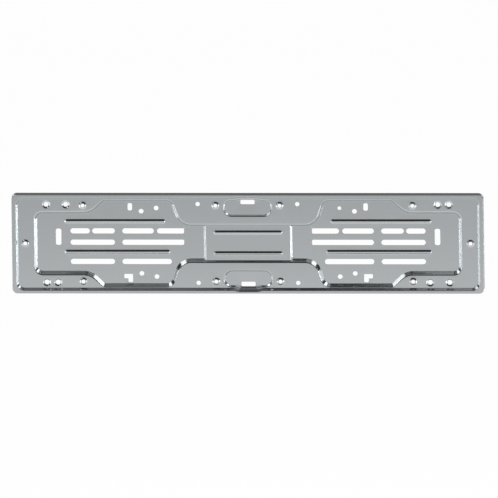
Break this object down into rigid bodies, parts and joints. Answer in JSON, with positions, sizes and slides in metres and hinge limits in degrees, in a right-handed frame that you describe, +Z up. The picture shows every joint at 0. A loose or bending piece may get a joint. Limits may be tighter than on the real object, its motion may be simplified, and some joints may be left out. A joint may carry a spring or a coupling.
{
  "type": "number plate holder",
  "caption": "Shallow rectangular stainless steel tray with a raised rim, stepped recess, beads and screw slots, fixed to a vehicle to back a single-line number plate.",
  "frame": {"origin": "centre of the middle row of slots, in the mounting plane where the backs of the deep recesses lie", "axes": "+X along the plate, +Z up, -Y out of the front"},
  "size_m": [0.522, 0.0092, 0.113],
  "materials": {
    "steel": "bright rolled stainless sheet, fine grain along the length"
  },
  "bodies": {
    "root": {"tray": "steel"}
  },
  "joints": []
}
